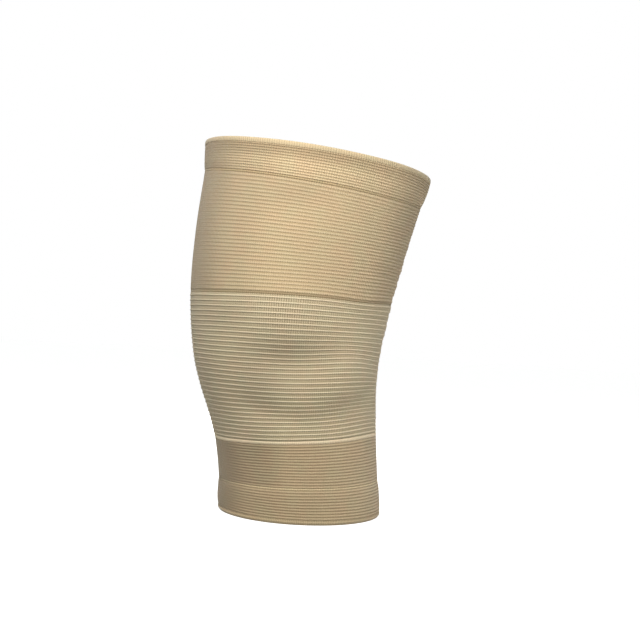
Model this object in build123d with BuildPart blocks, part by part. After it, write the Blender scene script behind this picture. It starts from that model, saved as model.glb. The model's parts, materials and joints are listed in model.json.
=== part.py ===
from build123d import *
import os
from math import radians, tan

# Pull-on elastic knee sleeve for a left leg, in its worn shape, standing on its lower edge.
# The kneecap side faces -Y, the outer side of the leg +X, and +Z is up.
# The origin is the middle of the lower edge.

# ---------------------------------------------------------------- driving sizes (mm, degrees)
# Outside half width of the knit, from the lower edge up
calf_opening_radius = 48.8
below_knee_radius = 49.5
knee_radius = 55.0
above_knee_radius = 61.1
mid_thigh_radius = 65.3
hem_seam_radius = 66.9
thigh_opening_radius = 69.3

# Heights of the bands along the axis, from the lower edge up
overlock_height = 3.0
bottom_hem_height = 18.0
calf_band_height = 27.2
lower_knee_height = 40.0        # calf band to kneecap
upper_knee_height = 41.9        # kneecap to thigh band
thigh_band_height = 67.1
top_hem_height = 15.9
welt_height = 2.4
mid_thigh_share = 0.62          # how far up the thigh band its middle station sits

# Front-to-back size as a share of the width
band_depth_ratio = 1.02         # at both ends of the knee band
knee_depth_ratio = 1.06

# How far the axis has moved to the outer side of the leg, and to the front
below_knee_lean = -5.7
knee_lean = -15.1
above_knee_lean = -14.2
mid_thigh_lean = -8.2
hem_seam_lean = -3.4
thigh_opening_lean = -0.8
knee_forward = 2.0

# How far the courses tip down to the inner side and down to the front
below_knee_tip_in = 2.4
below_knee_tip_front = -1.1
above_knee_tip_in = -1.0
above_knee_tip_front = -0.5
hem_seam_tip_in = -4.8
hem_seam_tip_front = 4.6
thigh_opening_tip_in = -5.8
thigh_opening_tip_front = 3.3

# Walls and threads
knit_thickness = 1.0            # ground knit of the thigh and calf bands
knee_knit_thickness = 1.2
thread_size = 0.6               # square cut-rubber thread
thread_play = 0.05              # between a thread and the knit round it
rib_proud = 0.6                 # how far a knee rib stands out of its ground
rib_height = 1.1                # one covered thread of a knee rib, up the sleeve
hem_layer_thickness = 0.9       # each of the two layers of a turned hem
hem_proud = 0.5                 # how far the outer layer of a hem stands out
welt_proud = 0.8
overlock_proud = 0.7
edge_rounding = 0.8             # on the welt and on the overlocked edge

# Courses
thigh_course_pitch = 2.1
calf_course_pitch = 1.65
hem_course_pitch = 2.4
joining_course_height = 1.4     # dark course between knee band and thigh band
joining_course_depth = 0.3      # how far it lies below the knit's surface
wide_course_height = 2.2        # light course between calf band and knee band
stitch_height = 1.2             # sewing thread of a hem seam
knee_rings = 6                  # rings the knee band bends in
ribs_per_ring = 5

thigh_sections = 5              # straight stretches of wall up the thigh band
height_tolerance = 0.01         # heights closer together than this are one course

# ---------------------------------------------------------------- worked-out sizes
calf_start = overlock_height + bottom_hem_height
knee_start = calf_start + calf_band_height
kneecap = knee_start + lower_knee_height
thigh_start = kneecap + upper_knee_height
mid_thigh = thigh_start + mid_thigh_share * thigh_band_height
hem_start = thigh_start + thigh_band_height
welt_start = hem_start + top_hem_height
knee_ring_height = (thigh_start - knee_start) / knee_rings
hem_inside = 2 * hem_layer_thickness + thread_size - hem_proud
thread_outside = hem_layer_thickness - hem_proud
hem_thread_inside = thread_outside + thread_size
knit_thread_inside = knit_thickness + thread_size

bottom_seam = calf_start - stitch_height
wide_course_start = knee_start - wide_course_height
thigh_knit_start = thigh_start + joining_course_height
top_seam_end = hem_start + stitch_height

# Stations up the sleeve: height, then lean, forward, half width, half depth, and the slopes of the
# courses towards the inner side and the front
STATIONS = [
    (0, (0, 0, calf_opening_radius, calf_opening_radius, 0, 0)),
    (overlock_height, (0, 0, calf_opening_radius, calf_opening_radius, 0, 0)),
    (knee_start, (below_knee_lean, 0, below_knee_radius, below_knee_radius * band_depth_ratio,
                  tan(radians(below_knee_tip_in)), tan(radians(below_knee_tip_front)))),
    (kneecap, (knee_lean, knee_forward, knee_radius, knee_radius * knee_depth_ratio, 0, 0)),
    (thigh_start, (above_knee_lean, knee_forward, above_knee_radius,
                   above_knee_radius * band_depth_ratio,
                   tan(radians(above_knee_tip_in)), tan(radians(above_knee_tip_front)))),
    (mid_thigh, (mid_thigh_lean, knee_forward, mid_thigh_radius, mid_thigh_radius,
                 tan(radians(hem_seam_tip_in)) / 2, tan(radians(hem_seam_tip_front)) / 2)),
    (hem_start, (hem_seam_lean, knee_forward, hem_seam_radius, hem_seam_radius,
                 tan(radians(hem_seam_tip_in)), tan(radians(hem_seam_tip_front)))),
    (welt_start, (thigh_opening_lean, knee_forward, thigh_opening_radius, thigh_opening_radius,
                  tan(radians(thigh_opening_tip_in)), tan(radians(thigh_opening_tip_front)))),
]


def mixed(share, low, high):
    """Each value of low moved towards the same value of high."""
    return [a + share * (b - a) for a, b in zip(low, high)]


def slope_at(number):
    """How fast each value of a station changes with height, judged from its neighbours."""
    low = STATIONS[max(number - 1, 0)]
    high = STATIONS[min(number + 1, len(STATIONS) - 1)]
    return [(b - a) / (high[0] - low[0]) for a, b in zip(low[1], high[1])]


def smooth_values(height):
    """The values of the cross-section at a height, on a smooth curve through the stations."""
    number = 0
    while number < len(STATIONS) - 2 and height > STATIONS[number + 1][0]:
        number += 1
    (low_height, low), (high_height, high) = STATIONS[number:number + 2]
    step = high_height - low_height
    t = (height - low_height) / step
    return [
        (2 * t**3 - 3 * t**2 + 1) * a + (t**3 - 2 * t**2 + t) * step * slope_a
        + (3 * t**2 - 2 * t**3) * b + (t**3 - t**2) * step * slope_b
        for a, b, slope_a, slope_b in zip(low, high, slope_at(number), slope_at(number + 1))]


def steps(bottom, top, count):
    """Evenly spaced heights from bottom up to just below top."""
    return [bottom + i * (top - bottom) / count for i in range(count)]


# The walls are straight from each of these heights to the next
SECTIONS = [(height, smooth_values(height)) for height in (
    steps(overlock_height, calf_start, 1) + steps(calf_start, knee_start, 3)
    + steps(knee_start, thigh_start, knee_rings) + steps(thigh_start, hem_start, thigh_sections)
    + steps(hem_start, welt_start, 2) + [welt_start])]


def section(height):
    """The values of the cross-section at a height: those of the straight wall there."""
    for low, high in zip(SECTIONS, SECTIONS[1:]):
        if height <= high[0]:
            break
    return mixed((height - low[0]) / (high[0] - low[0]), low[1], high[1])


def course_plane(height):
    """The plane of the course at a height on the axis, with its middle on the axis."""
    lean, forward, _, _, side_slope, front_slope = section(height)
    return Plane(
        origin=(lean, -forward, height),
        x_dir=(1, 0, side_slope),
        z_dir=(-side_slope, -front_slope, 1),
    )


def core(bottom, top, depth):
    """The inside of the sleeve between two courses, up to a depth below the knit's outside."""
    inner_heights = [
        height for height, _ in SECTIONS
        if bottom + height_tolerance < height < top - height_tolerance]
    with BuildPart() as inside:
        for height in [bottom, *inner_heights, top]:
            _, _, half_width, half_depth, _, _ = section(height)
            with BuildSketch(course_plane(height)):
                Ellipse(half_width - depth, half_depth - depth)
        loft(ruled=True)
    return inside.part


def tube(bottom, top, outer_depth, inner_depth):
    """The wall between two courses and between two depths below the knit's outside."""
    with BuildPart() as wall:
        add(core(bottom, top, outer_depth))
        add(core(bottom, top, inner_depth), mode=Mode.SUBTRACT)
    return wall.part


def rings(heights, ring_height, outer_depth, inner_depth):
    """A group of rings, one at each height."""
    with BuildPart() as group:
        for height in heights:
            add(tube(height - ring_height / 2, height + ring_height / 2, outer_depth, inner_depth))
    return group.part


def courses(bottom, top, pitch):
    """Heights of the courses that fit between two heights, evenly spaced at about the pitch."""
    count = int((top - bottom) / pitch)
    return [bottom + (i + 0.5) * (top - bottom) / count for i in range(count)]


def save(part, name):
    """Labels a finished piece and writes it as one STEP file."""
    part.label = name
    export_step(part, f"parts/{name}.step")


os.makedirs("parts", exist_ok=True)

# ---------------------------------------------------------------- lower edge and bottom hem
with BuildPart() as bottom_edge_overlock:
    with BuildSketch(Plane.XY):
        Circle(calf_opening_radius + overlock_proud)
        Circle(calf_opening_radius - hem_inside, mode=Mode.SUBTRACT)
    extrude(amount=overlock_height)
    outer_bottom_edge = bottom_edge_overlock.edges().group_by(Axis.Z)[0].sort_by(SortBy.LENGTH)[-1]
    fillet(outer_bottom_edge, edge_rounding)
save(bottom_edge_overlock.part, "bottom_edge_overlock")

save(tube(overlock_height, bottom_seam, -hem_proud, thread_outside), "bottom_hem_outer_layer")
save(tube(overlock_height, bottom_seam, hem_thread_inside, hem_inside), "bottom_hem_inner_layer")
hem_courses = courses(overlock_height, bottom_seam, hem_course_pitch)
save(
    rings(hem_courses, thread_size, thread_outside + thread_play, hem_thread_inside - thread_play),
    "bottom_hem_elastic_threads",
)
save(
    tube(bottom_seam, calf_start, joining_course_depth, knit_thickness),
    "bottom_hem_seam_stitching",
)

# ---------------------------------------------------------------- calf band
save(tube(calf_start, wide_course_start, 0, knit_thickness), "calf_knit_band")
calf_courses = courses(calf_start, wide_course_start, calf_course_pitch)
save(
    rings(calf_courses, thread_size, knit_thickness + thread_play, knit_thread_inside),
    "calf_elastic_threads",
)
save(
    tube(wide_course_start, knee_start, -rib_proud, knee_knit_thickness),
    "knee_calf_joining_course",
)

# ---------------------------------------------------------------- knee band, ring by ring
for ring in range(knee_rings):
    ring_bottom = knee_start + ring * knee_ring_height
    ring_top = ring_bottom + knee_ring_height
    save(tube(ring_bottom, ring_top, 0, knee_knit_thickness), f"knee_knit_ring_{ring + 1}")
    rib_courses = courses(ring_bottom, ring_top, knee_ring_height / (ribs_per_ring + 0.5))
    save(
        rings(rib_courses, rib_height, -rib_proud, -thread_play),
        f"knee_elastic_ribs_{ring + 1}",
    )

# ---------------------------------------------------------------- thigh band
save(
    tube(thigh_start, thigh_knit_start, joining_course_depth, knit_thickness),
    "thigh_knee_joining_course",
)
save(tube(thigh_knit_start, hem_start, 0, knit_thickness), "thigh_knit_band")
thigh_courses = courses(thigh_knit_start, hem_start, thigh_course_pitch)
save(
    rings(thigh_courses, thread_size, knit_thickness + thread_play, knit_thread_inside),
    "thigh_elastic_threads",
)

# ---------------------------------------------------------------- top hem and welt
save(tube(hem_start, top_seam_end, joining_course_depth, knit_thickness), "top_hem_seam_stitching")
save(tube(top_seam_end, welt_start, -hem_proud, thread_outside), "top_hem_outer_layer")
save(tube(top_seam_end, welt_start, hem_thread_inside, hem_inside), "top_hem_inner_layer")
hem_courses = courses(top_seam_end, welt_start, hem_course_pitch)
save(
    rings(hem_courses, thread_size, thread_outside + thread_play, hem_thread_inside - thread_play),
    "top_hem_elastic_threads",
)

opening_plane = course_plane(welt_start)
with BuildPart() as top_welt:
    with BuildSketch(opening_plane):
        Circle(thigh_opening_radius + welt_proud)
        Circle(thigh_opening_radius - hem_inside, mode=Mode.SUBTRACT)
    extrude(amount=welt_height)
    top_edges = top_welt.edges().group_by(Axis(opening_plane.origin, opening_plane.z_dir))[-1]
    fillet(top_edges.sort_by(SortBy.LENGTH)[-1], edge_rounding)
save(top_welt.part, "top_welt")
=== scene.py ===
import functools
import json
import math

import bpy
import numpy as np
from mathutils import Euler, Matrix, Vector
from mathutils.bvhtree import BVHTree

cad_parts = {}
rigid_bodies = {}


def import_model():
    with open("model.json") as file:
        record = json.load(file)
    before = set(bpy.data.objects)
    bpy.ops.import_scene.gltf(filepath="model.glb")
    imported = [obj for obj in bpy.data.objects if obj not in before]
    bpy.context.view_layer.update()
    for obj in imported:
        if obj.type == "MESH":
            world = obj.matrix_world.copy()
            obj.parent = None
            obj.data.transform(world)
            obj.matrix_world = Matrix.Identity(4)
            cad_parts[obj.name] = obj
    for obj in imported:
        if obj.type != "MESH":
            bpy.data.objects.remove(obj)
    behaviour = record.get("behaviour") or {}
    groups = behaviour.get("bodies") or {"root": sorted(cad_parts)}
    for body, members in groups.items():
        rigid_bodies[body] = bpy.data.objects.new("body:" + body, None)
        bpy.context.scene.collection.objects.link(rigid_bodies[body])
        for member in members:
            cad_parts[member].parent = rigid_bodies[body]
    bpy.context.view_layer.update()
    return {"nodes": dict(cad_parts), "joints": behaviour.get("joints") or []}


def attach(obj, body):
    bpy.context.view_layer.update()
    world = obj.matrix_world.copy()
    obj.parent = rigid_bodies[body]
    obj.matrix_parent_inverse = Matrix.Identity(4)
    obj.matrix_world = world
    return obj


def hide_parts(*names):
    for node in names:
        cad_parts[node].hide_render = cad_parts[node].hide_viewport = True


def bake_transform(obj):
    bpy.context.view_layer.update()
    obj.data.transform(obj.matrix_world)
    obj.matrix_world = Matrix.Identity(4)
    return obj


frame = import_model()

bl_info = {
    "name": "Knitted Knee Sleeve",
    "version": (1, 0, 0),
    "blender": (4, 5, 0),
    "location": "View3D > Sidebar > Knee Sleeve",
    "description": "Knits an elastic knee sleeve with ribbed bands, turned hems and sewn edges",
    "category": "Add Mesh",
}

MM = 0.001

# The joint between the two halves of the sleeve.
KNEE_JOINT = next(j for j in frame["joints"] if j["name"] == "knee_flexion")
CALF_BODY, THIGH_BODY = KNEE_JOINT["parent"], KNEE_JOINT["child"]

KNEE_RINGS = sorted(n for n in frame["nodes"] if n.startswith("knee_knit_ring_"))
KNEE_RIB_GROUPS = sorted(n for n in frame["nodes"] if n.startswith("knee_elastic_ribs_"))

HEM_PROUD = 0.5 * MM            # how far the outer layer of a hem stands out of the knit
FLAT_ENOUGH = 0.9               # how far up or down the normal of a flat end's face points
CLEAR_OF_SLEEVE = 0.2           # metres from the axis, outside the sleeve on every side


# ---- the leg's shape, from the frame
def flat_end(node, top):
    """Centre, side vector and back vector of a node's flat upper or lower end face."""
    mesh = frame["nodes"][node].data
    facing = 1 if top else -1
    ends = [p for p in mesh.polygons if p.normal.z * facing > FLAT_ENOUGH]
    points = np.array([mesh.vertices[i].co for p in ends for i in p.vertices])
    low, high = points.min(axis=0), points.max(axis=0)
    middle, half = (low + high) / 2, (high - low) / 2
    flat = np.column_stack([points[:, :2] - middle[:2], np.ones(len(points))])
    (side_slope, back_slope, height), *_ = np.linalg.lstsq(flat, points[:, 2], rcond=None)
    return (np.array([middle[0], middle[1], height]), half[0] * np.array([1, 0, side_slope]),
            half[1] * np.array([0, 1, back_slope]))


def shrunk(course, depth):
    """The same course, taken in by depth all round."""
    centre, side, back = course
    return (centre, side * (1 - depth / np.linalg.norm(side)),
            back * (1 - depth / np.linalg.norm(back)))


def wall_courses(node, low, high, count):
    """Courses spread evenly between two others, measured on the outer face of a node."""
    mesh = frame["nodes"][node].data
    wall = BVHTree.FromPolygons([v.co for v in mesh.vertices], [p.vertices for p in mesh.polygons])
    courses = []
    for row in range(1, count + 1):
        share = row / (count + 1)
        centre, side, back = (a + (b - a) * share for a, b in zip(low, high))
        faces = []
        for reach in (side, -side, back, -back):
            way = Vector(reach).normalized()
            place = wall.ray_cast(Vector(centre) + way * CLEAR_OF_SLEEVE, -way)[0]
            if place is None:
                raise RuntimeError(f"{node} has no outer face at {row} of {count}")
            faces.append(np.array(place))
        outer, inner, rear, front = faces
        middle = (outer + inner + rear + front) / 2 - centre
        courses.append((middle, (outer - inner) / 2, (rear - front) / 2))
    return courses


def measured_courses():
    """The courses that the frame gives, from the lower edge to the welt."""
    lower_hem = shrunk(flat_end("bottom_hem_outer_layer", False), HEM_PROUD)
    upper_hem = shrunk(flat_end("top_hem_outer_layer", True), HEM_PROUD)
    calf, thigh = ([flat_end(band, top) for top in (False, True)]
                   for band in ("calf_knit_band", "thigh_knit_band"))
    courses = [(lower_hem[0] * (1, 1, 0), *lower_hem[1:]), lower_hem, calf[0]]
    courses += wall_courses("calf_knit_band", *calf, 2)
    courses += [flat_end(ring, False) for ring in KNEE_RINGS]
    courses.append(flat_end(KNEE_RINGS[-1], True))
    courses += wall_courses("thigh_knit_band", *thigh, 4)
    courses += [thigh[1], upper_hem]
    rise = flat_end("top_welt", True)[0] - flat_end("top_welt", False)[0]
    courses.append((upper_hem[0] + rise, upper_hem[1], upper_hem[2]))
    return courses


COURSES = measured_courses()
COURSE_HEIGHTS = np.array([c[0][2] for c in COURSES])
COURSE_VALUES = np.array([np.concatenate(c) for c in COURSES])
COURSE_SLOPES = np.gradient(COURSE_VALUES, COURSE_HEIGHTS, axis=0)


def course_at(heights):
    """Centre, side and back vectors of the courses at these heights on the axis, smoothed."""
    heights = np.clip(heights, COURSE_HEIGHTS[0], COURSE_HEIGHTS[-1])
    i = np.clip(np.searchsorted(COURSE_HEIGHTS, heights) - 1, 0, len(COURSES) - 2)
    step = (COURSE_HEIGHTS[i + 1] - COURSE_HEIGHTS[i])[:, None]
    t = (heights[:, None] - COURSE_HEIGHTS[i][:, None]) / step
    values = ((2 * t**3 - 3 * t**2 + 1) * COURSE_VALUES[i]
              + (t**3 - 2 * t**2 + t) * step * COURSE_SLOPES[i]
              + (3 * t**2 - 2 * t**3) * COURSE_VALUES[i + 1]
              + (t**3 - t**2) * step * COURSE_SLOPES[i + 1])
    return values[:, 0:3], values[:, 3:6], values[:, 6:9]


def end_height(node, top=False):
    """Height on the axis of a node's flat lower or upper end."""
    return flat_end(node, top)[0][2]


# Where the bands and seams start, from the lower edge up.
LOWER_HEM_START = end_height("bottom_hem_outer_layer")
CALF_SEAM = end_height("bottom_hem_seam_stitching")
CALF_START = end_height("calf_knit_band")
WIDE_COURSE_START = end_height("calf_knit_band", True)
KNEE_START = end_height(KNEE_RINGS[0])
THIGH_JOINING = end_height(KNEE_RINGS[-1], True)
THIGH_START = end_height("thigh_knit_band")
HEM_SEAM = end_height("thigh_knit_band", True)
UPPER_HEM_START = end_height("top_hem_outer_layer")
WELT_START = end_height("top_hem_outer_layer", True)
WELT_TOP = COURSE_HEIGHTS[-1]


# ---- sizes and colours to change
def length(name, description, default):
    """A length property, in metres."""
    return bpy.props.FloatProperty(name=name, description=description, default=default, min=0.0,
                                   max=0.05, subtype="DISTANCE", unit="LENGTH", precision=5)


def number(name, description, default, low=1):
    """A count of ribs, stitches or mesh columns."""
    return bpy.props.IntProperty(name=name, description=description, default=default, min=low,
                                 max=600)


def colour(name, description, red, green, blue):
    """A yarn's colour, written as 0 to 255 in sRGB and kept as linear light."""
    linear = [((c / 255 + 0.055) / 1.055) ** 2.4 for c in (red, green, blue)]
    return bpy.props.FloatVectorProperty(name=name, description=description, default=linear,
                                         size=3, min=0.0, max=1.0, subtype="COLOR")


class KneeSleeveSizes(bpy.types.PropertyGroup):
    """Counts and small measures of the knit; the sleeve's own size comes from the frame."""
    wales: number("Wales", "Stitches once round the sleeve", 296)
    segments: number("Segments", "Mesh columns once round the sleeve", 256, 32)
    thigh_ribs: number("Thigh ribs", "Ribs between the knee band and the upper hem", 31)
    knee_ribs: number("Knee ribs", "Raised ribs over the knee", 31)
    calf_ribs: number("Calf ribs", "Ribs below the wide course", 15)
    upper_hem_ribs: number("Upper hem ribs", "Ribs between the upper seam and the welt", 11)
    lower_hem_ribs: number("Lower hem ribs", "Ribs between the lower edge and its seam", 10)
    knit_thickness: length("Knit thickness", "Thickness of the ribbed knit", 1.0 * MM)
    knee_thickness: length("Knee knit thickness", "Thickness of the plain knee knit", 1.2 * MM)
    layer_thickness: length("Hem layer", "Thickness of one layer of a turned hem", 0.9 * MM)
    rib_crest: length("Rib crest", "How far a rib stands out of the knit", 0.12 * MM)
    rib_valley: length("Rib valley", "How far the groove between two ribs goes in", 0.26 * MM)
    hem_taper: length("Hem taper", "How far from its seam a hem starts to come in", 5.0 * MM)
    knee_rib_height: length("Knee rib height", "Height of a raised rib over the knee", 0.9 * MM)
    knee_rib_proud: length("Knee rib proud", "How far a raised rib stands out", 0.28 * MM)
    knee_rib_spread: bpy.props.FloatProperty(
        name="Knee rib spread", default=0.107, min=0.0, max=1.0, subtype="FACTOR",
        description="How much closer the lower knee ribs lie than the upper ones")
    thread_size: length("Thread size", "Thickness of the rubber threads", 0.6 * MM)
    kneecap: length("Kneecap", "How far the kneecap lifts the knit", 3.4 * MM)
    thigh_muscle: length("Thigh muscle", "How far the inner thigh muscle lifts the knit", 2.5 * MM)
    hollow: length("Hollow", "Depth of the hollow beside the kneecap", 4.2 * MM)
    under_kneecap: length("Under the kneecap", "Depth of the groove under the kneecap", 1.5 * MM)
    wander: length("Wander", "How far the courses rise and dip round the leg", 0.2 * MM)


class KneeSleeveColours(bpy.types.PropertyGroup):
    """Colours of the yarns."""
    rib: colour("Rib yarn", "Tan yarn on the crest of a rib", 210, 188, 155)
    groove: colour("Rib groove", "Tan yarn between two ribs", 182, 159, 125)
    welt: colour("Welt yarn", "Yarn of the upper edge", 207, 187, 153)
    knee_rib: colour("Knee rib yarn", "Cream yarn covering the raised ribs", 226, 210, 181)
    knee_ground: colour("Knee ground yarn", "Greyed yarn of the plain knee knit", 196, 180, 150)
    knee_slit: colour("Knee slit", "Depth between stretched stitches", 128, 111, 86)
    seam: colour("Seam thread", "Thread of the seams", 188, 166, 131)
    lower_seam: colour("Lower seam thread", "Thread of the lower hem's seam", 216, 196, 160)
    joining: colour("Joining thread", "Thread between the knee and the thigh", 168, 149, 117)
    overlock: colour("Overlock thread", "Thread round the lower edge", 190, 170, 138)
    rubber: colour("Rubber thread", "Covered rubber threads behind the ribs", 205, 190, 160)
    floor: colour("Floor", "Plain floor", 200, 200, 199)


def sizes():
    return bpy.context.scene.knee_sleeve_sizes


def colours():
    return bpy.context.scene.knee_sleeve_colours


# ---- the leg under the knit
# Places on the leg: (degrees from the front, height in mm), (reach in degrees, reach in mm).
KNEECAP = (9, 84), (24, 15)
KNEECAP_TOP = (11, 91), (10, 6)
THIGH_MUSCLE = (-27, 120), (27, 15)
INNER_HOLLOW = (-28, 92), (27, 12)
SHIN_HEAD = (-49, 52), (16, 9)
INNER_CALF = (-110, 7), (35, 8)
OUTER_SIDE = (80, 135), (45, 42)
KNEECAP_TOP_LIFT = SHIN_HEAD_LIFT = 1.0 * MM
INNER_CALF_LIFT = 1.5 * MM

# The groove under the kneecap, at degrees from the front: its height in mm, its share of the depth.
GROOVE_COURSE = (-80, -51, -19, 15, 45), (75, 68, 59, 68, 77)
GROOVE_REACH = (-75, -52, 18, 45), (0, 1, 1, 0)
GROOVE_WIDTH = 7.5 * MM

# How far the leg pushes the courses up in mm, at places on it.
COURSE_PUSHES = ((2.5, (12, 93), (26, 14)), (2.7, (34, 60), (34, 22)),
                 (-1.2, (16, 131), (22, 9)), (-1.6, (26, 193), (40, 13)))

# The inner side, where the ribs wear flat and the yarn is painted darker with shade.
WEAR_AND_PAINTED_SHADE_SIDE = -105, 32            # the inner side: degrees from the front, and reach in degrees
WORN_FLATTER = 0.8              # share of a rib's height that wear takes away
SMOOTHED_ROWS = 7               # rows over which a worn rib is levelled


def within_half_turn(angle):
    """The same angles, between minus and plus half a turn."""
    return (angle + np.pi) % (2 * np.pi) - np.pi


def bump_over(angle, height, centre, spread):
    """A soft rise centred on (degrees from the front, height), with its spread in both."""
    across = (angle - math.radians(centre[0])) / math.radians(spread[0])
    return np.exp(-across**2 - ((height - centre[1] * MM) / (spread[1] * MM))**2)


def side_patch(angle, middle, reach):
    """A band up one side of the leg: 1 in its middle, falling off quickly past its reach."""
    return np.exp(-((angle - math.radians(middle)) / math.radians(reach)) ** 4)


def body_swell(angle, height):
    """How far the knee and the muscles push the knit out at angles from the front and heights."""
    s = sizes()
    angle = within_half_turn(angle)
    lifts = ((s.kneecap, KNEECAP), (KNEECAP_TOP_LIFT, KNEECAP_TOP), (-s.hollow, INNER_HOLLOW),
             (s.thigh_muscle, THIGH_MUSCLE), (SHIN_HEAD_LIFT, SHIN_HEAD),
             (INNER_CALF_LIFT, INNER_CALF))
    rise = sum(lift * bump_over(angle, height, *place) for lift, place in lifts)
    degrees = np.degrees(angle)
    groove = np.interp(degrees, *GROOVE_COURSE) * MM
    reach = np.clip(np.interp(degrees, *GROOVE_REACH), 0, 1)
    rise -= s.under_kneecap * reach * np.exp(-((height - groove) / GROOVE_WIDTH)**2)
    ripple = np.sin(height / (3.1 * MM) + 2 * angle) * np.sin(height / (7.3 * MM) - angle)
    fine_ripple = np.sin(height / (0.85 * MM) + 3 * angle)
    rise += (0.35 * ripple + 0.2 * fine_ripple) * MM * bump_over(angle, height, *OUTER_SIDE)
    return rise


def course_wander(angle, height):
    """How far a course rises or dips round the leg; none at the lower edge, which stands flat."""
    sway = (np.sin(2 * angle + height / (17 * MM))
            + 0.7 * np.sin(3 * angle - height / (11 * MM) + 1)
            + 0.5 * np.sin(7 * angle + height / (5 * MM)))
    return 0.5 * sizes().wander * sway * np.clip(height / (12 * MM), 0, 1)


def course_rise(angle, height):
    """How far the kneecap and the outer side of the knee push the courses up or down."""
    angle = within_half_turn(angle)
    return sum(push * bump_over(angle, height, *place) for push, *place in COURSE_PUSHES) * MM


def wear_and_painted_shade_share(angle):
    """How far the ribs wear flat, and how far their yarn is painted darker with shade: most on the
    inner side of the leg.
    """
    return side_patch(within_half_turn(angle), *WEAR_AND_PAINTED_SHADE_SIDE)


def knit_points(angles, heights, depths, face_rows=0):
    """Points of the knit at each angle round the leg and each height, taken in by depths from its
    face. The first face_rows are ribs, which lie flatter where the knit wears."""
    step = 0.5 * MM
    centre, side, back = (v[None] for v in course_at(heights))
    rise = [(hi - lo)[None]
            for hi, lo in zip(course_at(heights + step), course_at(heights - step))]
    cos, sin = np.cos(angles)[:, None, None], np.sin(angles)[:, None, None]
    points = centre + side * cos + back * sin
    outward = np.cross(back * cos - side * sin, rise[0] + rise[1] * cos + rise[2] * sin)
    outward /= np.linalg.norm(outward, axis=2, keepdims=True)
    from_front = angles[:, None] + np.pi / 2
    level = depths.copy()
    if face_rows:
        padded = np.pad(depths[:face_rows], SMOOTHED_ROWS // 2, mode="edge")
        level[:face_rows] = np.convolve(padded, np.ones(SMOOTHED_ROWS) / SMOOTHED_ROWS, "valid")
    depths = level + (depths - level) * (1 - WORN_FLATTER * wear_and_painted_shade_share(from_front))
    points = points - outward * depths[:, :, None]
    points = points + outward * (1, 1, 0) * body_swell(from_front, heights[None])[:, :, None]
    points[:, :, 2] += (course_wander(from_front, heights[None])
                        + course_rise(from_front, heights[None]))
    return points


# ---- knitting a band
RIB_ROWS = 6                    # mesh rows up a rib
PLAIN_ROWS = 4                  # mesh rows up a course of a flatter face


def ribbed_face(start, end, ribs, crest, valley, rows=RIB_ROWS, fullness=0.8):
    """Heights, depths and course numbers up the outer face of a band with rounded ribs."""
    course = np.arange(ribs * rows + 1) / rows
    arch = np.abs(np.sin(np.pi * course)) ** fullness
    return start + (end - start) * course / ribs, valley - (valley + crest) * arch, course


def spread_out(start, end, share, closer):
    """Heights between start and end at shares of the way, closer together at the lower end."""
    return start + (end - start) * share * (1 + closer * (share - 1))


def lining(start, end, ribs, depth, rows=12):
    """Heights, depths and course numbers down the inner face of a band."""
    share = np.linspace(1, 0, rows)
    return start + (end - start) * share, np.full(rows, depth), ribs * share


def joined(*faces):
    """One closed profile from faces that follow each other."""
    return [np.concatenate(column) for column in zip(*faces)]


def knit_ring(name, profiles, face_rows=0):
    """A closed ring of knit from one profile, or one ring for each of several alike profiles."""
    around, rings, rows = sizes().segments, len(profiles), len(profiles[0][0])
    bpy.ops.mesh.primitive_torus_add(
        major_segments=around, minor_segments=rows, major_radius=60 * MM, minor_radius=0.5 * MM,
        location=(0, 0, 0), generate_uvs=False)
    piece = bpy.context.object
    piece.name = piece.data.name = name
    if rings > 1:
        repeat = piece.modifiers.new("Rings", "ARRAY")
        repeat.count = rings
        repeat.use_relative_offset = False
        repeat.use_constant_offset = True
        repeat.constant_offset_displace = (0, 0, 2 * MM)
        bpy.ops.object.modifier_apply(modifier=repeat.name)
    mesh = piece.data
    angles = np.arange(around) * 2 * np.pi / around
    points = [knit_points(angles, heights, depths, face_rows) for heights, depths, _ in profiles]
    mesh.vertices.foreach_set("co", np.concatenate([p.reshape(-1, 3) for p in points]).ravel())
    add_stitch_maps(mesh, profiles, around)
    mesh.update()
    bpy.ops.object.shade_smooth()
    return piece


def add_stitch_maps(mesh, profiles, around):
    """Two UV maps: OFBake fills the square once; Stitches counts wales across and courses up."""
    rings, rows = len(profiles), len(profiles[0][0])
    vertex = np.empty(len(mesh.loops), int)
    mesh.loops.foreach_get("vertex_index", vertex)
    vertex = vertex.reshape(-1, 4)
    ring, place = np.divmod(vertex, around * rows)
    column, row = np.divmod(place, rows)
    column = np.where((np.ptp(column, axis=1)[:, None] > 1) & (column == 0), around, column)
    row = np.where((np.ptp(row, axis=1)[:, None] > 1) & (row == 0), rows, row)
    along, courses = [], []
    for heights, depths, course in profiles:
        run = np.hypot(np.diff(heights, append=heights[0]), np.diff(depths, append=depths[0]))
        run = np.concatenate([[0], np.cumsum(run)])
        along.append(run / run[-1])
        courses.append(np.append(course, course[0]))
    across = column / around
    square = np.stack([across, (ring + np.array(along)[ring, row]) / rings], axis=2)
    stitches = np.stack([across * sizes().wales, np.array(courses)[ring, row]], axis=2)
    for name, values in (("OFBake", square), ("Stitches", stitches)):
        layer = mesh.uv_layers.new(name=name)
        layer.uv.foreach_set("vector", values.astype(np.float32).ravel())
    mesh.uv_layers.active = mesh.uv_layers["OFBake"]


def cords(start, end, count, height, thickness, depth, closer=0.0, sides=6):
    """Profiles of count round cords between two heights, one in the middle of each rib's space."""
    profiles = []
    turn = np.arange(sides) * 2 * np.pi / sides
    for i in range(count):
        middle = spread_out(start, end, (i + 0.5) / count, closer)
        heights = middle + height / 2 * np.sin(turn)
        depths = depth - thickness / 2 * np.cos(turn)
        profiles.append((heights, depths, i + 0.5 + np.sin(turn) * 0.25))
    return profiles
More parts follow.
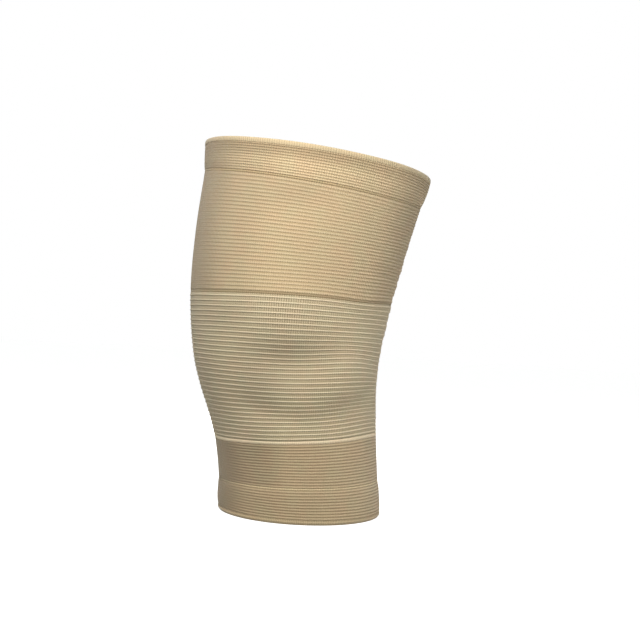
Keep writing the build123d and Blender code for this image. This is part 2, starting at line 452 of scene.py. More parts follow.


# ---- wear and painted shade, kept on the vertices
# Sides where the yarn is painted darker with shade: degrees from the front, reach in degrees, how
# much.
CALF_PAINTED_SHADE = (-62, 24, 0.85), (50, 20, 0.2)
LOWER_HEM_PAINTED_SHADE = (-56, 22, 0.25), (50, 20, 0.3)
THIGH_PAINTED_SHADE = (-73, 26, 0.5), (46, 24, 0.5)

UNDER_SEAM = (-34, 189), (18, 9)        # place on the leg under the upper hem's seam
UNDER_SEAM_PAINTED_SHADE = 0.65                  # how much painted shade darkens the thigh band's yarn there
WELT_SHADE_REACH = 8.5 * MM             # how far down the painted shade on the ribs under the welt goes
WELT_PAINTED_SHADE_FADE = 5.5 * MM               # length over which the yarn's painted shade under the welt fades
WELT_PAINTED_SHADE_FULL = 1.6                    # where the fading ends, in such lengths under the welt
WELT_PAINTED_SHADE_SIDE = -34, 46                # degrees from the front, and reach in degrees

KNEE_SIDE_PAINTED_SHADE, KNEE_SIDE = 0.45, (-66, 28)     # how much painted shade darkens the knee's inner side, and where
KNEE_SIDE_TOP, KNEE_SIDE_FADE = 105 * MM, 20 * MM       # how high it starts, and how fast it grows

# Places on the knee where the yarn is painted darker with shade: how much, then the place on the
# leg.
KNEE_PAINTED_SHADE = (0.75, (-18, 101), (31, 8)), (0.75, (-37, 82), (17, 14)), (0.6, (-64, 118), (17, 9))

# Where the knee's stitches part: degrees from the front at its top, degrees more for each mm down,
# reach in degrees, and the height and length over which it starts.
PARTED_SIDE, PARTED_SLANT, PARTED_REACH = -30, 0.3, 21
PARTED_START, PARTED_GROWTH = 90 * MM, 30 * MM


def vertex_places(piece):
    """Angle from the front and height of each vertex."""
    co = np.empty(len(piece.data.vertices) * 3)
    piece.data.vertices.foreach_get("co", co)
    co = co.reshape(-1, 3)
    centre = course_at(co[:, 2])[0]
    return np.arctan2(co[:, 0] - centre[:, 0], centre[:, 1] - co[:, 1]), co[:, 2]


def mark(piece, name, values):
    """Keeps a number for each vertex, for the material to read."""
    attribute = piece.data.attributes.new(name, "FLOAT", "POINT")
    attribute.data.foreach_set("value", values.astype(np.float32))


def mark_wear_and_painted_shade(piece, dull=(), under_seam=0.0, under_welt=0.0):
    """Marks where a band's ribs wear flat, which its yarn also shows with painted shade, where its
    yarn is painted darker with shade, and the painted shade on the ribs right under the welt."""
    angle, height = vertex_places(piece)
    mark(piece, "worn", wear_and_painted_shade_share(angle))
    # Painted shade under the upper hem's seam and on the band's sides.
    yarn_painted_shade = under_seam * bump_over(angle, height, *UNDER_SEAM)
    for middle, reach, amount in dull:
        yarn_painted_shade += amount * side_patch(angle, middle, reach)
    # Painted shade on the ribs right under the welt, darkest next to it.
    if under_welt:
        _, side, back = (v[0] for v in course_at(np.array([WELT_START])))
        below = WELT_START + side[2] * np.sin(angle) - back[2] * np.cos(angle) - height
        mark(piece, "shade", under_welt * np.clip(1 - below / WELT_SHADE_REACH, 0, 1))
        sides = 0.15 + 0.75 * side_patch(angle, *WELT_PAINTED_SHADE_SIDE)
        yarn_painted_shade += sides * np.clip(WELT_PAINTED_SHADE_FULL - below / WELT_PAINTED_SHADE_FADE, 0, 1)
    mark(piece, "dull", yarn_painted_shade)


def knee_painted_shade(angle, height):
    """How much painted shade darkens the knee yarn: on the inner side, and in the hollows of the
    knee.
    """
    below = np.clip((KNEE_SIDE_TOP - height) / KNEE_SIDE_FADE, 0, 1)
    dull = KNEE_SIDE_PAINTED_SHADE * side_patch(angle, *KNEE_SIDE) * below
    return dull + sum(amount * bump_over(angle, height, *place) for amount, *place in KNEE_PAINTED_SHADE)


def parted_share(angle, height):
    """How far the knee's stitches part in slits: most on the inner side above the kneecap."""
    middle = np.radians(PARTED_SIDE + PARTED_SLANT * (THIGH_JOINING - height) / MM)
    parted = np.exp(-((angle - middle) / math.radians(PARTED_REACH)) ** 2)
    return parted * np.clip((height - PARTED_START) / PARTED_GROWTH, 0, 1) ** 1.3


# ---- yarns
FIBRES = 2200                   # loose fibres in a metre, which roughen every yarn
BEAD, TICK = 0.6, 0.5           # powers that shape a wound bead and the knit between wale grooves
CLEAR_TICKS = 0.35              # how much darker a rib is in its wale grooves, on plain ribs
SPECULAR, SHEEN, SHEEN_ROUGHNESS, BUMP_STRENGTH = 0.22, 0.25, 0.45, 0.9
KNIT_BUMP, PLAIN_BUMP, CORD_BUMP = 0.25 * MM, 0.22 * MM, 0.16 * MM      # depth of their relief
LEAST_ROUGH, MORE_ROUGH = 0.76, 0.2     # roughness of the smoothest yarn, and what fuzz adds
PAINTED_SHADE_TONE = (0.76, 0.76, 0.77)  # what painted shade multiplies the yarn's colour by
GREENER, PINKER = (0.97, 1.0, 0.965), (1.0, 0.97, 0.94)     # tints of the patches in a yarn


def feed(tree, socket, value):
    """Links a socket to another one, or gives it a plain value."""
    if isinstance(value, bpy.types.NodeSocket):
        tree.links.new(value, socket)
    else:
        socket.default_value = value


def set_inputs(tree, node, **values):
    """Feeds a node's inputs; an underscore stands for a space in a name."""
    for name, value in values.items():
        feed(tree, node.inputs[name.replace("_", " ")], value)
    return node


def new_node(tree, kind, **values):
    """A shader node with its inputs fed."""
    return set_inputs(tree, tree.nodes.new("ShaderNode" + kind), **values)


def calc(tree, operation, *values):
    """What a Math node makes of sockets or plain numbers."""
    node = new_node(tree, "Math")
    node.operation = operation
    for socket, value in zip(node.inputs, values):
        feed(tree, socket, value)
    return node.outputs[0]


def clamped(tree, share):
    """A share kept between 0 and 1."""
    return calc(tree, "MINIMUM", calc(tree, "MAXIMUM", share, 0.0), 1.0)


def mixed(tree, share, first, second, kind="MIX"):
    """Two colours, sockets or plain, mixed by a share."""
    node = new_node(tree, "Mix")
    node.data_type = "RGBA"
    node.blend_type = kind
    for index, value in ((0, share), (6, first), (7, second)):
        feed(tree, node.inputs[index], (*value, 1) if isinstance(value, tuple) else value)
    return node.outputs[2]


def speckle(tree, scale, detail=2.0):
    """Noise over the sleeve, with so many features in a metre."""
    place = new_node(tree, "TexCoord").outputs["Object"]
    noise = new_node(tree, "TexNoise", Scale=scale, Detail=detail, Vector=place)
    return noise.outputs["Fac"]


def grain(tree, scale, amount, offset, detail=2.0):
    """Speckle times an amount, added to a number or a socket."""
    return calc(tree, "MULTIPLY_ADD", speckle(tree, scale, detail), amount, offset)


def stitch_places(tree):
    """Wales across and courses up, counted by the Stitches map."""
    stitches = new_node(tree, "UVMap")
    stitches.uv_map = "Stitches"
    parts = new_node(tree, "SeparateXYZ", Vector=stitches.outputs["UV"])
    return parts.outputs["X"], parts.outputs["Y"]


def wave(tree, place):
    """A smooth wave of one unit's length, 0 at whole numbers and 1 half way between."""
    turned = calc(tree, "COSINE", calc(tree, "MULTIPLY", place, 2 * math.pi))
    return calc(tree, "MULTIPLY_ADD", turned, -0.5, 0.5)


def loops(tree, wale, course, per_course):
    """Height of knitted loops: two slanting legs in each wale, stacked in rows."""
    across = calc(tree, "ABSOLUTE", calc(tree, "SUBTRACT", calc(tree, "FRACT", wale), 0.5))
    slant = calc(tree, "MULTIPLY_ADD", across, -1.3, calc(tree, "MULTIPLY", course, per_course))
    leg = calc(tree, "ABSOLUTE", calc(tree, "SINE", calc(tree, "MULTIPLY", wale, 2 * math.pi)))
    return calc(tree, "MULTIPLY", wave(tree, slant), calc(tree, "MULTIPLY_ADD", leg, 0.6, 0.4))


def marked(tree, name):
    """A number kept for each vertex; 0 on a piece that has none of that name."""
    node = new_node(tree, "Attribute")
    node.attribute_name = name
    return node.outputs["Fac"]


def towards(tree, share, aim, name, reach):
    """A share drawn towards an aim, as far as a number kept for each vertex times a reach."""
    how_far = calc(tree, "MULTIPLY", marked(tree, name), reach)
    gap = calc(tree, "SUBTRACT", aim, share)
    return calc(tree, "ADD", share, calc(tree, "MULTIPLY", gap, how_far))


def yarn_material(name, colour_of, height_of, relief):
    """A matt yarn: colour_of and height_of wire its colour and its relief."""
    material = bpy.data.materials.new(name)
    material.use_nodes = True
    tree = material.node_tree
    bump = new_node(tree, "Bump", Distance=relief, Strength=BUMP_STRENGTH, Height=height_of(tree))
    set_inputs(tree, tree.nodes["Principled BSDF"], Specular_IOR_Level=SPECULAR,
               Sheen_Weight=SHEEN, Sheen_Roughness=SHEEN_ROUGHNESS, Normal=bump.outputs["Normal"],
               Base_Color=colour_of(tree), Roughness=grain(tree, 900, MORE_ROUGH, LEAST_ROUGH))
    return material


def uneven_and_painted_shade(tree, colour_socket, amount=0.08):
    """Yarn's dye and wear vary a little, in broad patches and from fibre to fibre, and the yarn is
    painted darker with shade where its vertices are marked for it.
    """
    broad = grain(tree, 38, amount * 1.6, 1 - amount * 0.8, 3)
    fine = grain(tree, 1400, amount * 2.4, 1 - amount * 1.2)
    both = calc(tree, "MULTIPLY", broad, fine)
    level = new_node(tree, "CombineColor", Red=both, Green=both, Blue=both)
    tint = mixed(tree, clamped(tree, grain(tree, 95, 3.0, -1.0, 1)), GREENER, PINKER)
    tone = mixed(tree, 1.0, colour_socket, level.outputs[0], "MULTIPLY")
    # Painted shade, where the vertices are marked for it.
    tone = mixed(tree, marked(tree, "dull"), tone, PAINTED_SHADE_TONE, "MULTIPLY")
    return mixed(tree, 1.0, tone, tint, "MULTIPLY")


def ribbed_yarn(name, crest, groove, fullness, ticks):
    """Tan knit whose ribs run round the leg, with a wale groove across them at every stitch."""
    def colour_of(tree):
        wale, course = stitch_places(tree)
        rib = calc(tree, "POWER", wave(tree, course), fullness)
        tick = calc(tree, "POWER", wave(tree, wale), TICK)
        share = calc(tree, "MULTIPLY", rib, calc(tree, "MULTIPLY_ADD", tick, ticks, 1 - ticks))
        share = calc(tree, "ADD", share, grain(tree, 1100, 0.5, -0.25))
        # On the inner side the share goes towards the groove's tone: the ribs wear flat there, and
        # the yarn is also painted darker with shade.
        share = towards(tree, share, 0.2, "worn", 0.8)
        # Painted shade on the ribs right under the welt.
        closer = calc(tree, "MULTIPLY", marked(tree, "shade"), 0.6)
        share = clamped(tree, calc(tree, "SUBTRACT", share, closer))
        # Painted shade: the inner side is mixed towards a darker groove tone.
        rub_and_painted_shade = calc(tree, "MULTIPLY", marked(tree, "worn"), 0.7)
        tone = mixed(tree, share, groove, crest)
        return uneven_and_painted_shade(tree, mixed(tree, rub_and_painted_shade, tone, shade_of(groove, 0.76)))

    def height_of(tree):
        wale, course = stitch_places(tree)
        tick = calc(tree, "POWER", wave(tree, wale), TICK)
        tick = calc(tree, "MULTIPLY", tick, ticks / CLEAR_TICKS)
        legs = calc(tree, "MULTIPLY_ADD", loops(tree, wale, course, 2), 0.5, tick)
        return grain(tree, FIBRES, 0.35, legs)

    return yarn_material(name, colour_of, height_of, KNIT_BUMP)


def plain_yarn(name, ground, cream, slit):
    """Plain knit over the knee; where it is stretched most, its stitches part in slits."""
    def parts_of(tree):
        wale, course = stitch_places(tree)
        shaken = calc(tree, "ADD", wale, grain(tree, 420, 0.6, -0.3, 1))
        gap = calc(tree, "POWER", calc(tree, "SUBTRACT", 1.0, wave(tree, shaken)), 1.6)
        between = calc(tree, "POWER", calc(tree, "SUBTRACT", 1.0, wave(tree, course)), 0.6)
        rows = loops(tree, wale, course, 3)
        return rows, marked(tree, "stretch"), calc(tree, "MULTIPLY", gap, between)

    def colour_of(tree):
        rows, stretch, gap = parts_of(tree)
        light = calc(tree, "MULTIPLY", calc(tree, "SUBTRACT", 1.0, gap), stretch)
        tone = mixed(tree, calc(tree, "MULTIPLY", light, 0.45), ground, cream)
        dark = calc(tree, "MULTIPLY", gap, calc(tree, "MULTIPLY_ADD", stretch, 0.6, 0.12))
        tone = mixed(tree, dark, tone, slit)
        between = calc(tree, "MULTIPLY", calc(tree, "SUBTRACT", 1.0, rows), 0.2)
        return uneven_and_painted_shade(tree, mixed(tree, between, tone, slit), 0.1)

    def height_of(tree):
        rows, stretch, gap = parts_of(tree)
        deep = calc(tree, "MULTIPLY", gap, calc(tree, "MULTIPLY_ADD", stretch, -0.8, -0.4))
        return grain(tree, FIBRES, 0.4, calc(tree, "MULTIPLY_ADD", rows, 0.7, deep))

    return yarn_material(name, colour_of, height_of, PLAIN_BUMP)


def cord_yarn(name, light, dark, beads, turns, rub_and_painted_shade):
    """Yarn wound round a cord: a bead at each wale, slanting windings; on the inner side the beads
    are less clear, drawn to a given share, and a low share paints shade there.
    """
    def colour_of(tree):
        wale, _ = stitch_places(tree)
        bead = calc(tree, "POWER", wave(tree, wale), BEAD)
        share = calc(tree, "MULTIPLY_ADD", bead, beads, 1 - beads)
        share = calc(tree, "ADD", share, grain(tree, 1300, 0.5, -0.3))
        # On the inner side the beads are drawn to a given share; a low one is painted shade.
        share = clamped(tree, towards(tree, share, rub_and_painted_shade, "worn", 0.9))
        return uneven_and_painted_shade(tree, mixed(tree, share, dark, light))

    def height_of(tree):
        wale, course = stitch_places(tree)
        slant = calc(tree, "MULTIPLY_ADD", wale, turns, calc(tree, "MULTIPLY", course, 2.0))
        bead = calc(tree, "POWER", wave(tree, wale), BEAD)
        height = calc(tree, "MULTIPLY_ADD", wave(tree, slant), 0.35, bead)
        return grain(tree, FIBRES, 0.3, height)

    return yarn_material(name, colour_of, height_of, CORD_BUMP)


def shade_of(tone, level):
    """A darker or lighter tone of the same yarn."""
    return tuple(min(1.0, c * level) for c in tone[:3])


# Ribbed yarns: levels of the crest's and the groove's colour, shape of a rib, wale grooves. The
# upper hem's higher levels paint light on it, and the calf's lower levels paint shade on the calf
# band and the lower hem.
RIBBED_YARNS = {
    "ribbed_tan": (1.0, 1.0, 0.75, CLEAR_TICKS),
    "hem_tan": (1.13, 1.08, 0.75, CLEAR_TICKS),
    "calf_tan": (0.88, 0.7, 0.55, 0.1),
    "lining_tan": (0.9, 1.0, 0.5, CLEAR_TICKS),
}
# Wound yarns: level of the darker tone, share of the beads, windings in a wale, and the share the
# beads are drawn to on the inner side; the low shares of the knee ribs and the lower seam paint
# shade there.
WOUND_YARNS = {
    "knee_rib": (0.66, 0.45, 2.0, 0.4),
    "welt": (0.68, 0.55, 1.0, 0.95),
    "seam": (0.6, 0.6, 1.0, 0.95),
    "lower_seam": (0.5, 0.3, 1.0, 0.1),
    "joining": (0.55, 0.6, 1.0, 0.95),
    "overlock": (0.62, 0.6, 1.0, 0.95),
    "rubber": (0.7, 0.4, 3.0, 0.95),
}
WIDE_COURSE_LIGHT, WIDE_COURSE_DARK = (0.8, 0.66, 0.47), (0.62, 0.5, 0.34)


@functools.cache
def yarn(name):
    """The material of a yarn above, of the wide course or of the plain knee knit, made once."""
    c = colours()
    if name in RIBBED_YARNS:
        crest, groove, *look = RIBBED_YARNS[name]
        tones = shade_of(c.rib, crest), shade_of(c.groove, groove)
        return ribbed_yarn(name + "_yarn", *tones, *look)
    if name in WOUND_YARNS:
        title = "rubber_thread_cover" if name == "rubber" else name + "_yarn"
        tone, (dark, *look) = getattr(c, name), WOUND_YARNS[name]
        return cord_yarn(title, tuple(tone), shade_of(tone, dark), *look)
    if name == "wide_course":
        return cord_yarn("wide_course_yarn", WIDE_COURSE_LIGHT, WIDE_COURSE_DARK, 0.3, 2.0, 0.95)
    return plain_yarn("knee_plain_yarn", tuple(c.knee_ground), tuple(c.knee_rib),
                      tuple(c.knee_slit))


def finish_piece(piece, yarn_name, nodes, body=None):
    """Gives a piece its yarn, its place in the frame and the nodes that it stands for."""
    piece.data.materials.clear()
    piece.data.materials.append(yarn(yarn_name))
    if body is None:
        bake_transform(piece)
    else:
        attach(piece, body)
    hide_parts(*nodes)
    return piece


# ---- the parts of the sleeve
# Profile of the overlocked edge in mm: height, and depth from the knit's face.
OVERLOCK_FACE = ((0.0, 0.3), (0.12, 0.0), (0.45, -0.25), (0.8, -0.42), (1.1, -0.68), (1.45, -0.75),
                 (1.8, -0.68), (2.1, -0.42), (2.35, -0.08), (2.6, -0.2), (3.0, -0.35))
OVERLOCK_BACK = (3.0, 1.6), (2.5, 1.86), (1.5, 1.9), (0.5, 1.84), (0.1, 1.4)
OVERLOCK_TURN = 1.6 * MM        # height of one turn of its thread

SEAM_ROWS = 9                   # mesh rows up a sewn course
SEAM_SUNK = 0.35 * MM           # how deep a sewn course lies at its two sides
SEAM_ROUND = 0.3 * MM           # how far its middle comes out again
HEM_SEAM_PROUD = 0.12 * MM      # how much further the middle of a hem's seam comes out
WIDE_COURSE_PROUD = 0.3 * MM    # the same for the wide course

HEM_THREAD_FLAT = 0.04 * MM     # how much thinner than high a hem's rubber threads are
LINING_RELIEF = 0.2 * MM        # depth of the grooves in a hem's inner layer
KNEE_RELIEF = 0.16 * MM         # how far a plain course stands out between two knee ribs
WELT_DARKER = 0.9               # how much the ribs right under the welt are shaded

WELT_SIDES = 20                 # mesh rows round the welt
WELT_MIDDLE = 0.55 * MM         # depth of the welt's middle
WELT_HALF = 1.35 * MM           # half of its thickness
WELT_OVERLAP = 0.6 * MM         # how far the welt covers the hem
HEM_SHORT = 0.2 * MM            # how far the hem stops under the welt's start


class KNEESLEEVE_OT_lower_edge(bpy.types.Operator):
    """Overlocked lower edge of the calf opening"""
    bl_idname = "knee_sleeve.lower_edge"
    bl_label = "Overlocked lower edge"

    def execute(self, context):
        heights, depths = (np.array(OVERLOCK_FACE + OVERLOCK_BACK) * MM).T
        piece = knit_ring("overlocked_edge", [(heights, depths, heights / OVERLOCK_TURN)])
        finish_piece(piece, "overlock", ["bottom_edge_overlock"], CALF_BODY)
        return {"FINISHED"}


def turned_hem(start, end, ribs, name, node, body):
    """Outer layer, inner layer and the rubber threads between them, for the nodes of one hem."""
    s = sizes()
    lower = body == CALF_BODY
    heights, depths, course = ribbed_face(start, end, ribs, s.rib_crest + HEM_PROUD,
                                          s.rib_valley - HEM_PROUD)
    from_seam = (end - heights if lower else heights - start) / s.hem_taper
    depths += HEM_PROUD * (1 - np.clip(from_seam, 0, 1)) ** 2
    back = lining(start, end, ribs, s.layer_thickness - HEM_PROUD)
    outer = knit_ring(name + "_outer", [joined((heights, depths, course), back)], len(heights))
    # Painted shade on the hem's sides, and on the upper hem also right under the welt.
    if lower:
        mark_wear_and_painted_shade(outer, LOWER_HEM_PAINTED_SHADE)
    else:
        mark_wear_and_painted_shade(outer, THIGH_PAINTED_SHADE, under_welt=WELT_DARKER)
    finish_piece(outer, "calf_tan" if lower else "hem_tan",
                 [node + "_outer_layer"], body)

    outside = s.layer_thickness - HEM_PROUD + s.thread_size
    heights, depths, course = ribbed_face(start, end, ribs, 0, LINING_RELIEF, PLAIN_ROWS)
    inner_face = (heights[::-1], outside + s.layer_thickness - depths[::-1], course[::-1])
    outer_face = [v[::-1] for v in lining(start, end, ribs, outside)]
    inner = knit_ring(name + "_inner", [joined(outer_face, inner_face)])
    finish_piece(inner, "lining_tan", [node + "_inner_layer"], body)

    threads = knit_ring(name + "_threads", cords(
        start, end, ribs, s.thread_size, s.thread_size - HEM_THREAD_FLAT,
        outside - s.thread_size / 2))
    finish_piece(threads, "rubber", [node + "_elastic_threads"], body)
    return outer, inner, threads


def ribbed_band(name, start, end, ribs, yarn_name, body, lining_rows, thread_sides, **wear):
    """A ribbed band and the rubber threads behind its ribs."""
    s = sizes()
    face = ribbed_face(start, end, ribs, s.rib_crest, s.rib_valley)
    back = lining(start, end, ribs, s.knit_thickness, lining_rows)
    knit = knit_ring(name + "_knit", [joined(face, back)], len(face[0]))
    mark_wear_and_painted_shade(knit, **wear)
    finish_piece(knit, yarn_name, [name + "_knit_band"], body)
    threads = knit_ring(name + "_threads", cords(
        start, end, ribs, s.thread_size, s.thread_size, s.knit_thickness + s.thread_size / 2,
        sides=thread_sides))
    finish_piece(threads, "rubber", [name + "_elastic_threads"], body)
    return knit, threads


def sewn_course(name, start, end, yarn_name, node, body, proud=0.0, inside=1.0 * MM):
    """A narrow course that joins two bands, a little below or above their faces."""
    share = np.linspace(0, 1, SEAM_ROWS)
    depths = SEAM_SUNK - (SEAM_ROUND + proud) * np.sin(np.pi * share) ** 0.7
    face = (start + (end - start) * share, depths, share)
    piece = knit_ring(name, [joined(face, lining(start, end, 1, inside, rows=4))], len(share))
    mark_wear_and_painted_shade(piece)
    return finish_piece(piece, yarn_name, [node], body)


class KNEESLEEVE_OT_lower_hem(bpy.types.Operator):
    """Turned lower hem: two knit layers with rubber threads between them, and its seam"""
    bl_idname = "knee_sleeve.lower_hem"
    bl_label = "Lower hem"

    def execute(self, context):
        outer, inner, threads = turned_hem(
            LOWER_HEM_START, CALF_SEAM, sizes().lower_hem_ribs, "lower_hem", "bottom_hem",
            CALF_BODY)
        seam = sewn_course("lower_hem_seam", CALF_SEAM, CALF_START, "lower_seam",
                           "bottom_hem_seam_stitching", CALF_BODY, HEM_SEAM_PROUD)
        return {"FINISHED"}


class KNEESLEEVE_OT_calf_band(bpy.types.Operator):
    """Ribbed calf band, the rubber threads behind its ribs and the wide course above it"""
    bl_idname = "knee_sleeve.calf_band"
    bl_label = "Calf band"

    def execute(self, context):
        s = sizes()
        # Painted shade on the calf band's sides.
        knit, threads = ribbed_band(
            "calf", CALF_START, WIDE_COURSE_START, s.calf_ribs, "calf_tan", CALF_BODY,
            lining_rows=14, thread_sides=6, dull=CALF_PAINTED_SHADE)
        wide = sewn_course(
            "wide_course", WIDE_COURSE_START, KNEE_START, "wide_course",
            "knee_calf_joining_course", None, WIDE_COURSE_PROUD, s.knee_thickness)
        return {"FINISHED"}


class KNEESLEEVE_OT_knee_band(bpy.types.Operator):
    """Plain knit over the knee with raised covered ribs, and the course joining it to the thigh"""
    bl_idname = "knee_sleeve.knee_band"
    bl_label = "Knee band"

    def execute(self, context):
        s = sizes()
        _, depths, course = ribbed_face(KNEE_START, THIGH_JOINING, s.knee_ribs, 0, KNEE_RELIEF,
                                        PLAIN_ROWS, 1.0)
        heights = spread_out(KNEE_START, THIGH_JOINING, course / s.knee_ribs, s.knee_rib_spread)
        back = lining(KNEE_START, THIGH_JOINING, s.knee_ribs, s.knee_thickness, rows=42)
        knit = knit_ring("knee_knit", [joined((heights, KNEE_RELIEF - depths, course), back)])
        angle, height = vertex_places(knit)
        mark(knit, "stretch", parted_share(angle, height))
        # Painted shade on the knee's inner side and in its hollows.
        mark(knit, "dull", knee_painted_shade(angle, height))
        finish_piece(knit, "knee_plain", KNEE_RINGS)

        ribs = knit_ring("knee_ribs", cords(
            KNEE_START, THIGH_JOINING, s.knee_ribs, s.knee_rib_height, s.knee_rib_proud * 2, 0.0,
            s.knee_rib_spread))
        angle, height = vertex_places(ribs)
        # The ribs' inner side is marked for wear with painted shade, and painted darker with shade
        # like the knit.
        mark(ribs, "worn", wear_and_painted_shade_share(angle))
        mark(ribs, "dull", knee_painted_shade(angle, height))
        finish_piece(ribs, "knee_rib", KNEE_RIB_GROUPS)

        joining = sewn_course("thigh_joining_course", THIGH_JOINING, THIGH_START, "joining",
                              "thigh_knee_joining_course", None)
        return {"FINISHED"}


class KNEESLEEVE_OT_thigh_band(bpy.types.Operator):
    """Ribbed thigh band and the rubber threads behind its ribs"""
    bl_idname = "knee_sleeve.thigh_band"
    bl_label = "Thigh band"

    def execute(self, context):
        # Painted shade on the thigh band's sides and under the upper hem's seam.
        knit, threads = ribbed_band(
            "thigh", THIGH_START, HEM_SEAM, sizes().thigh_ribs, "ribbed_tan", THIGH_BODY,
            lining_rows=32, thread_sides=5, dull=THIGH_PAINTED_SHADE, under_seam=UNDER_SEAM_PAINTED_SHADE)
        return {"FINISHED"}


class KNEESLEEVE_OT_upper_hem(bpy.types.Operator):
    """Turned upper hem: two knit layers with rubber threads between them, and its seam"""
    bl_idname = "knee_sleeve.upper_hem"
    bl_label = "Upper hem"

    def execute(self, context):
        outer, inner, threads = turned_hem(
            UPPER_HEM_START, WELT_START - HEM_SHORT, sizes().upper_hem_ribs, "upper_hem", "top_hem",
            THIGH_BODY)
        seam = sewn_course("upper_hem_seam", HEM_SEAM, UPPER_HEM_START, "seam",
                           "top_hem_seam_stitching", THIGH_BODY, HEM_SEAM_PROUD)
        return {"FINISHED"}


def squared(waves, power):
    """Sines or cosines pushed out towards a square's sides; a lower power pushes further."""
    return np.sign(waves) * np.abs(waves) ** power


class KNEESLEEVE_OT_welt(bpy.types.Operator):
    """Rounded welt where the knit folds over at the thigh opening"""
    bl_idname = "knee_sleeve.welt"
    bl_label = "Upper welt"

    def execute(self, context):
        turn = np.arange(WELT_SIDES) * 2 * np.pi / WELT_SIDES
        bottom = WELT_START - WELT_OVERLAP
        heights = (bottom + WELT_TOP) / 2 + (WELT_TOP - bottom) / 2 * squared(np.sin(turn), 0.55)
        depths = WELT_MIDDLE - WELT_HALF * squared(np.cos(turn), 0.45)
        piece = knit_ring("welt", [(heights, depths, turn / (2 * np.pi))])
        finish_piece(piece, "welt", ["top_welt"], THIGH_BODY)
        return {"FINISHED"}


# ---- stage
CAMERA_TARGET = Vector((5.9, -3.0, 118.3)) * MM
CAMERA_AZIMUTH, CAMERA_ELEVATION, CAMERA_ROLL = -27, 0, 3       # degrees, the first from the front
CAMERA_DISTANCE = 0.66
CAMERA_LENS = 59.9
AMBIENT_COLOUR, AMBIENT_STRENGTH = (0.95, 1.0, 0.98, 1), 0.19
FLOOR_GLOW = 0.85               # how far the floor lights itself for rays that see it

# Square soft lamps: name, place, target, size, power and colour.
LAMPS = (
    ("key_light", (-0.24, -0.34, 0.49), (0.0, 0.0, 0.15), 0.3, 3.5, (1.0, 0.985, 0.95)),
    ("back_light", (0.27, 0.54, 0.26), (0.0, 0.0, 0.11), 0.35, 3.2, (1.0, 0.99, 0.97)),
    ("low_light", (0.30, -0.20, 0.02), (0.03, -0.02, 0.05), 0.14, 0.42, (1.0, 1.0, 1.0)),
)


def aimed(obj, place, target):
    """Puts a lamp or camera at a place, facing the target."""
    obj.location = place
    obj.rotation_euler = (Vector(target) - Vector(place)).to_track_quat("-Z", "Y").to_euler()


def soft_lamp(name, place, target, size, power, warmth):
    """A square soft light."""
    data = bpy.data.lights.new(name, "AREA")
    data.shape = "SQUARE"
    data.size = size
    data.energy = power
    data.color = warmth
    lamp = bpy.data.objects.new(name, data)
    bpy.context.scene.collection.objects.link(lamp)
    aimed(lamp, place, target)


def background_ray(tree):
    """1 for rays that see the surroundings themselves, 0 for light that falls on the sleeve."""
    path = new_node(tree, "LightPath")
    seen = calc(tree, "MAXIMUM", path.outputs["Is Camera Ray"], path.outputs["Is Glossy Ray"])
    return calc(tree, "MAXIMUM", seen, path.outputs["Is Transmission Ray"])


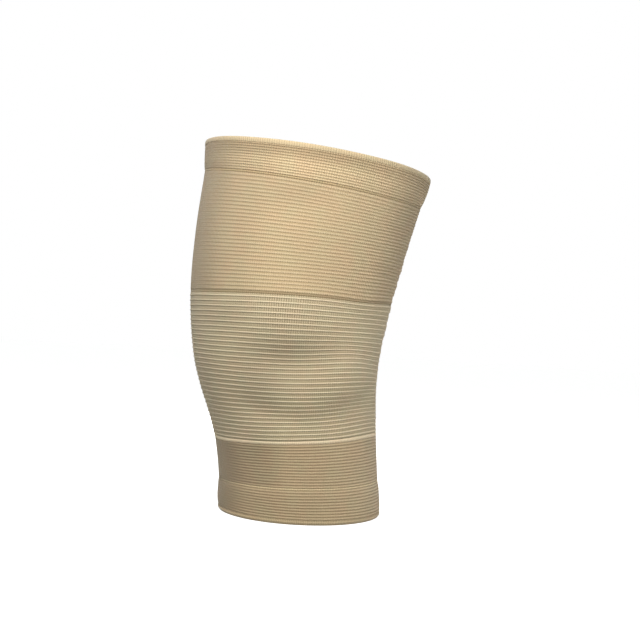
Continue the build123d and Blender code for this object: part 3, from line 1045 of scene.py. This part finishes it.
class KNEESLEEVE_OT_stage(bpy.types.Operator):
    """Pale floor, soft lamps and the camera in front of the sleeve's inner side"""
    bl_idname = "knee_sleeve.stage"
    bl_label = "Stage"

    def execute(self, context):
        scene = context.scene
        scene.view_settings.view_transform = "Standard"
        self.add_camera(scene)
        self.add_world(scene)
        self.add_floor()
        for lamp in LAMPS:
            soft_lamp(*lamp)
        return {"FINISHED"}

    def add_camera(self, scene):
        camera = bpy.data.objects.new("camera", bpy.data.cameras.new("camera"))
        scene.collection.objects.link(camera)
        camera.data.lens = CAMERA_LENS
        camera.data.clip_start = 0.01
        a, e = math.radians(CAMERA_AZIMUTH), math.radians(CAMERA_ELEVATION)
        reach = Vector((math.sin(a) * math.cos(e), -math.cos(a) * math.cos(e), math.sin(e)))
        aimed(camera, CAMERA_TARGET + CAMERA_DISTANCE * reach, CAMERA_TARGET)
        roll = Euler((0, 0, math.radians(CAMERA_ROLL))).to_matrix()
        camera.rotation_euler = (camera.rotation_euler.to_matrix() @ roll).to_euler()
        scene.camera = camera

    def add_world(self, scene):
        world = scene.world or bpy.data.worlds.new("surroundings")
        scene.world = world
        world.use_nodes = True
        tree = world.node_tree
        tree.nodes.clear()
        ambient = new_node(tree, "Background", Color=AMBIENT_COLOUR, Strength=AMBIENT_STRENGTH)
        white = new_node(tree, "Background", Color=(1, 1, 1, 1))
        choose = new_node(tree, "MixShader", Fac=background_ray(tree))
        tree.links.new(ambient.outputs[0], choose.inputs[1])
        tree.links.new(white.outputs[0], choose.inputs[2])
        new_node(tree, "OutputWorld", Surface=choose.outputs[0])

    def add_floor(self):
        bpy.ops.mesh.primitive_circle_add(vertices=96, radius=3.0, fill_type="NGON",
                                          location=(0, 0, 0))
        floor = bpy.context.object
        floor.name = "floor"
        material = bpy.data.materials.new("pale_floor")
        material.use_nodes = True
        tree = material.node_tree
        matt = set_inputs(tree, tree.nodes["Principled BSDF"], Roughness=0.9,
                          Base_Color=(*colours().floor, 1), Specular_IOR_Level=0.1)
        glow = new_node(tree, "Emission",
                        Strength=calc(tree, "MULTIPLY", background_ray(tree), FLOOR_GLOW))
        both = new_node(tree, "AddShader")
        tree.links.new(matt.outputs[0], both.inputs[0])
        tree.links.new(glow.outputs[0], both.inputs[1])
        set_inputs(tree, tree.nodes["Material Output"], Surface=both.outputs[0])
        floor.data.materials.append(material)


# ---- panel and registering
PARTS = (KNEESLEEVE_OT_lower_edge, KNEESLEEVE_OT_lower_hem, KNEESLEEVE_OT_calf_band,
         KNEESLEEVE_OT_knee_band, KNEESLEEVE_OT_thigh_band, KNEESLEEVE_OT_upper_hem,
         KNEESLEEVE_OT_welt, KNEESLEEVE_OT_stage)


class KNEESLEEVE_PT_panel(bpy.types.Panel):
    """The sleeve's sizes, colours and parts"""
    bl_idname = "KNEESLEEVE_PT_panel"
    bl_label = "Knee Sleeve"
    bl_space_type = "VIEW_3D"
    bl_region_type = "UI"
    bl_category = "Knee Sleeve"

    def draw(self, context):
        for title, group in (("Sizes", sizes()), ("Colours", colours())):
            box = self.layout.box()
            box.label(text=title)
            for name in group.__annotations__:
                box.prop(group, name)
        for part in PARTS:
            self.layout.operator(part.bl_idname)


CLASSES = (KneeSleeveSizes, KneeSleeveColours, *PARTS, KNEESLEEVE_PT_panel)


def register():
    for cls in CLASSES:
        bpy.utils.register_class(cls)
    bpy.types.Scene.knee_sleeve_sizes = bpy.props.PointerProperty(type=KneeSleeveSizes)
    bpy.types.Scene.knee_sleeve_colours = bpy.props.PointerProperty(type=KneeSleeveColours)


def unregister():
    del bpy.types.Scene.knee_sleeve_colours
    del bpy.types.Scene.knee_sleeve_sizes
    for cls in reversed(CLASSES):
        bpy.utils.unregister_class(cls)


def main():
    register()
    for part in PARTS:
        group, name = part.bl_idname.split(".")
        getattr(getattr(bpy.ops, group), name)()


if __name__ == "__main__":
    main()
